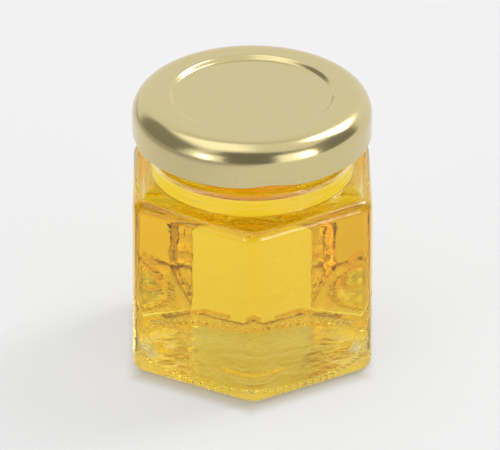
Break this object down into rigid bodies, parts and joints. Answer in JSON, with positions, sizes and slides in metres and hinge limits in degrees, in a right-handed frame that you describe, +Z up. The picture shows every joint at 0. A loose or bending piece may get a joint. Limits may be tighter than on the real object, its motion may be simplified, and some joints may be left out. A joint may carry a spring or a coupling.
{
  "type": "honey jar",
  "caption": "Small hexagonal glass jar filled with clear golden honey, closed by a gold twist-off metal lid with a sunken panel.",
  "frame": {"origin": "middle of the base, on the surface that the jar stands on", "axes": "+Z up the jar's axis to the lid, one upright corner of the six points to -Y, two flat sides face +X and -X"},
  "size_m": [0.0462, 0.052, 0.0536],
  "materials": {
    "clear_glass": "clear moulded glass",
    "honey": "clear golden liquid",
    "gold_lid": "satin pale gold lacquer"
  },
  "bodies": {
    "root": {"glass_jar": "clear_glass", "honey": "honey", "lid": "gold_lid"}
  },
  "joints": []
}
